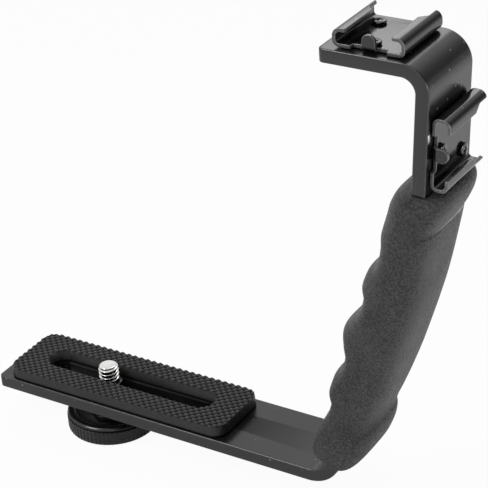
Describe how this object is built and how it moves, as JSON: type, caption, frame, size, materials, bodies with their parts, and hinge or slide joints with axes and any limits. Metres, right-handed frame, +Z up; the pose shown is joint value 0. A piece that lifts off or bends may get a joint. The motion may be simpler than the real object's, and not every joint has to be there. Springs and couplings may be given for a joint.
{
  "type": "camera flash bracket",
  "caption": "C-shaped camera bracket with a slotted, rubber-topped base, a captive camera screw, a moulded hand grip and accessory shoes on its top and its leg.",
  "frame": {"origin": "centre of the bottom of the box round the whole bracket", "axes": "+X along the base from its free end towards the grip, +Y across the bar from the stop tabs towards the open ends of the shoes, +Z up from the knob towards the top shoe"},
  "size_m": [0.1604, 0.029, 0.1539],
  "materials": {
    "bar_paint": "semi-gloss black enamel",
    "pad_rubber": "matte, diamond knurled",
    "grip_skin": "leather grained",
    "shoe_paint": "gloss black",
    "black_screw_steel": "black oxide",
    "bright_screw_steel": "bright nickel",
    "knob_plastic": "satin black with fine ribs",
    "washer_nylon": "smooth black"
  },
  "bodies": {
    "bracket": {"frame_bar": "bar_paint", "rubber_pad": "pad_rubber", "hand_grip": "grip_skin", "top_shoe": "shoe_paint", "side_shoe": "shoe_paint", "top_shoe_screw_front": "black_screw_steel", "top_shoe_screw_rear_left": "black_screw_steel", "top_shoe_screw_rear_right": "black_screw_steel", "side_shoe_screw_front": "black_screw_steel", "side_shoe_screw_rear_left": "black_screw_steel", "side_shoe_screw_rear_right": "black_screw_steel"},
    "slot_slider": {"retaining_clip": "black_screw_steel"},
    "screw_lifter": {"thrust_washer": "washer_nylon"},
    "knob_and_screw": {"camera_screw": "bright_screw_steel", "screw_knob": "knob_plastic"}
  },
  "joints": [
    {"name": "screw_along_slot", "type": "slide", "parent": "bracket", "child": "slot_slider", "axis": [1, 0, 0], "range_m": [-0.0177, 0.0343]},
    {"name": "screw_lift", "type": "slide", "parent": "slot_slider", "child": "screw_lifter", "axis": [0, 0, 1], "range_m": [0, 0.0026]},
    {"name": "knob_turn", "type": "hinge", "parent": "screw_lifter", "child": "knob_and_screw", "pos_m": [-0.04548, 0, 0.0144], "axis": [0, 0, 1], "continuous": true}
  ]
}
